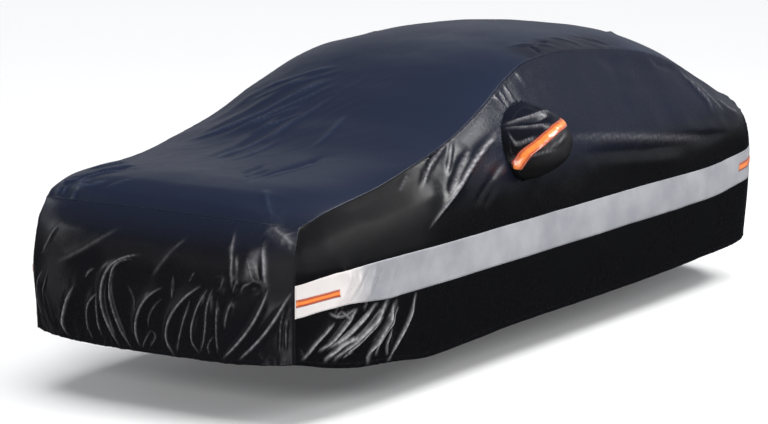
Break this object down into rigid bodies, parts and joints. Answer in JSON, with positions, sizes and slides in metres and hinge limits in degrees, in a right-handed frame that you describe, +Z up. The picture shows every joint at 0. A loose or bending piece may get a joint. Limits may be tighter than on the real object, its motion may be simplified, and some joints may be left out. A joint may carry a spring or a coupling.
{
  "type": "car cover",
  "caption": "Fitted cloth cover for a saloon car: draped top, sides and ends, domed door mirror pockets, reflective side strips.",
  "frame": {"origin": "underside of the cloth at the middle of the roof, where the cover rests on the car's roof", "axes": "+X to the back of the car (its front faces -X), +Y to the car's right side, +Z up"},
  "size_m": [4.9085, 2.1181, 1.3882],
  "materials": {
    "navy_cloth": "dark navy coated cloth, semi-gloss",
    "dark_cloth": "near-black coated cloth, semi-gloss",
    "silver_tape": "silver-grey reflective cloth",
    "orange_tape": "orange reflective tape"
  },
  "bodies": {
    "root": {"top_panel": "navy_cloth", "front_panel": "dark_cloth", "rear_panel": "dark_cloth", "side_panel_left": "dark_cloth", "side_panel_right": "dark_cloth", "mirror_pocket_left": "dark_cloth", "mirror_pocket_right": "dark_cloth", "silver_strip_left": "silver_tape", "silver_strip_right": "silver_tape", "orange_bar_front_left": "orange_tape", "orange_bar_front_right": "orange_tape", "orange_bar_rear_left": "orange_tape", "orange_bar_rear_right": "orange_tape", "orange_trim_left": "orange_tape", "orange_trim_right": "orange_tape"}
  },
  "joints": []
}
